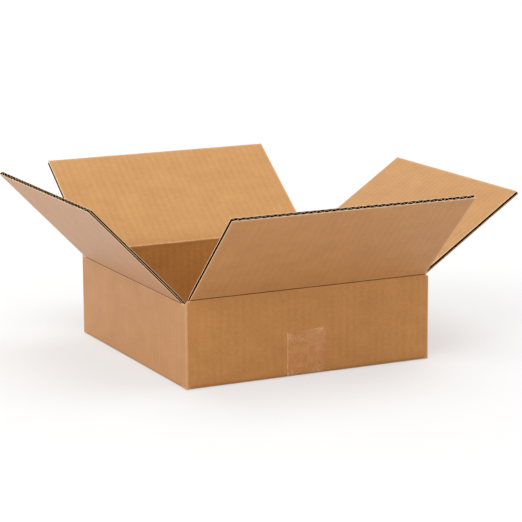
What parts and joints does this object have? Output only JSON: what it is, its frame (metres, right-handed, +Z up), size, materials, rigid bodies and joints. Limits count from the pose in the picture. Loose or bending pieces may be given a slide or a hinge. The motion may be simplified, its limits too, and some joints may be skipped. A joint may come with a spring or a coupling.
{
  "type": "open shipping box",
  "caption": "Shallow square shipping box of corrugated board, open at the top, with hinged top flaps and a taped bottom.",
  "frame": {"origin": "middle of the box's underside, on the surface that it stands on", "axes": "+Z up, the front wall with the tape tail faces -Y, the left wall faces -X"},
  "size_m": [0.4609, 0.4615, 0.1794],
  "materials": {
    "board": "plain brown liner, matt",
    "tape": "frosted clear film"
  },
  "bodies": {
    "box": {"box_body": "board", "bottom_tape": "tape"},
    "front_flap": {"front_flap": "board"},
    "back_flap": {"back_flap": "board"},
    "left_flap": {"left_flap": "board"},
    "right_flap": {"right_flap": "board"}
  },
  "joints": [
    {"name": "front_flap_hinge", "type": "hinge", "parent": "box", "child": "front_flap", "pos_m": [0, -0.131, 0.086], "axis": [1, 0, 0], "range_deg": [-136, 84]},
    {"name": "back_flap_hinge", "type": "hinge", "parent": "box", "child": "back_flap", "pos_m": [0, 0.131, 0.086], "axis": [-1, 0, 0], "range_deg": [-144, 76]},
    {"name": "left_flap_hinge", "type": "hinge", "parent": "box", "child": "left_flap", "pos_m": [-0.131, 0, 0.0819], "axis": [0, -1, 0], "range_deg": [-134, 83]},
    {"name": "right_flap_hinge", "type": "hinge", "parent": "box", "child": "right_flap", "pos_m": [0.131, 0, 0.0819], "axis": [0, 1, 0], "range_deg": [-146, 71]}
  ]
}
